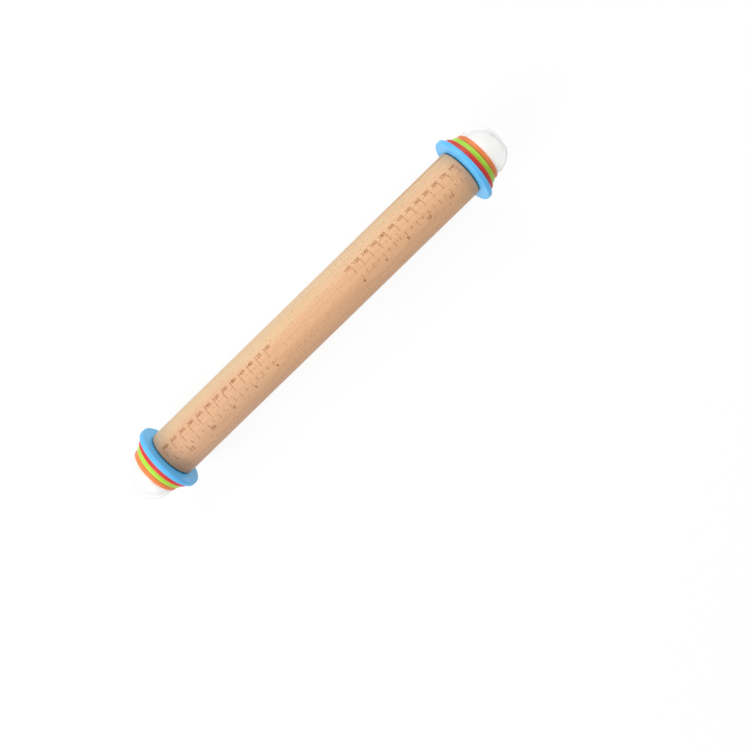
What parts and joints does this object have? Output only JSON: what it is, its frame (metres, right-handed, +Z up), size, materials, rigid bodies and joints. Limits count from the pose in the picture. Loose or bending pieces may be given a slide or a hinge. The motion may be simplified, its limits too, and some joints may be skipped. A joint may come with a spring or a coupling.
{
  "type": "adjustable rolling pin",
  "caption": "Wooden rolling pin with an etched width scale and stepped, removable thickness discs held at each end by a screw-in domed knob.",
  "frame": {"origin": "under the middle of the roller, on the surface that the largest discs rest on", "axes": "+X along the roller towards its right end, +Y across it, +Z up; the scale faces up"},
  "size_m": [0.4348, 0.0648, 0.0648],
  "materials": {
    "beech": "fine turned beech, lightly oiled, with dark pores and an etched scale",
    "blue_plastic": "satin moulded plastic",
    "red_plastic": "satin moulded plastic",
    "green_plastic": "satin moulded plastic",
    "orange_plastic": "satin moulded plastic",
    "frosted_plastic": "frosted translucent white",
    "stud_plastic": "plain moulded white",
    "insert_plastic": "plain moulded pale grey"
  },
  "bodies": {
    "roller": {"roller": "beech", "threaded_insert_left": "insert_plastic", "threaded_insert_right": "insert_plastic"},
    "blue_disc_left": {"blue_disc_left": "blue_plastic"},
    "red_disc_left": {"red_disc_left": "red_plastic"},
    "green_disc_left": {"green_disc_left": "green_plastic"},
    "orange_disc_left": {"orange_disc_left": "orange_plastic"},
    "knob_left": {"knob_shell_left": "frosted_plastic", "threaded_stud_left": "stud_plastic"},
    "blue_disc_right": {"blue_disc_right": "blue_plastic"},
    "red_disc_right": {"red_disc_right": "red_plastic"},
    "green_disc_right": {"green_disc_right": "green_plastic"},
    "orange_disc_right": {"orange_disc_right": "orange_plastic"},
    "knob_right": {"knob_shell_right": "frosted_plastic", "threaded_stud_right": "stud_plastic"}
  },
  "joints": [
    {"name": "blue_disc_left_slide", "type": "slide", "parent": "roller", "child": "blue_disc_left", "axis": [-1, 0, 0], "range_m": [0, 0.0135]},
    {"name": "red_disc_left_slide", "type": "slide", "parent": "roller", "child": "red_disc_left", "axis": [-1, 0, 0], "range_m": [0, 0.0288]},
    {"name": "green_disc_left_slide", "type": "slide", "parent": "roller", "child": "green_disc_left", "axis": [-1, 0, 0], "range_m": [0, 0.045]},
    {"name": "orange_disc_left_slide", "type": "slide", "parent": "roller", "child": "orange_disc_left", "axis": [-1, 0, 0], "range_m": [0, 0.09]},
    {"name": "knob_left_unscrew", "type": "hinge", "parent": "orange_disc_left", "child": "knob_left", "pos_m": [-0.1954, 0, 0.0324], "axis": [-1, 0, 0], "range_deg": [0, 6480]},
    {"name": "blue_disc_right_slide", "type": "slide", "parent": "roller", "child": "blue_disc_right", "axis": [1, 0, 0], "range_m": [0, 0.0135]},
    {"name": "red_disc_right_slide", "type": "slide", "parent": "roller", "child": "red_disc_right", "axis": [1, 0, 0], "range_m": [0, 0.0288]},
    {"name": "green_disc_right_slide", "type": "slide", "parent": "roller", "child": "green_disc_right", "axis": [1, 0, 0], "range_m": [0, 0.045]},
    {"name": "orange_disc_right_slide", "type": "slide", "parent": "roller", "child": "orange_disc_right", "axis": [1, 0, 0], "range_m": [0, 0.09]},
    {"name": "knob_right_unscrew", "type": "hinge", "parent": "orange_disc_right", "child": "knob_right", "pos_m": [0.1954, 0, 0.0324], "axis": [1, 0, 0], "range_deg": [0, 6480]}
  ],
  "couplings": [
    {"joint": "blue_disc_left_slide", "follows": "knob_left_unscrew", "m_per_rad": 0.00011937},
    {"joint": "red_disc_left_slide", "follows": "knob_left_unscrew", "m_per_rad": 0.00025465},
    {"joint": "green_disc_left_slide", "follows": "knob_left_unscrew", "m_per_rad": 0.00039789},
    {"joint": "orange_disc_left_slide", "follows": "knob_left_unscrew", "m_per_rad": 0.00079577},
    {"joint": "blue_disc_right_slide", "follows": "knob_right_unscrew", "m_per_rad": 0.00011937},
    {"joint": "red_disc_right_slide", "follows": "knob_right_unscrew", "m_per_rad": 0.00025465},
    {"joint": "green_disc_right_slide", "follows": "knob_right_unscrew", "m_per_rad": 0.00039789},
    {"joint": "orange_disc_right_slide", "follows": "knob_right_unscrew", "m_per_rad": 0.00079577}
  ]
}
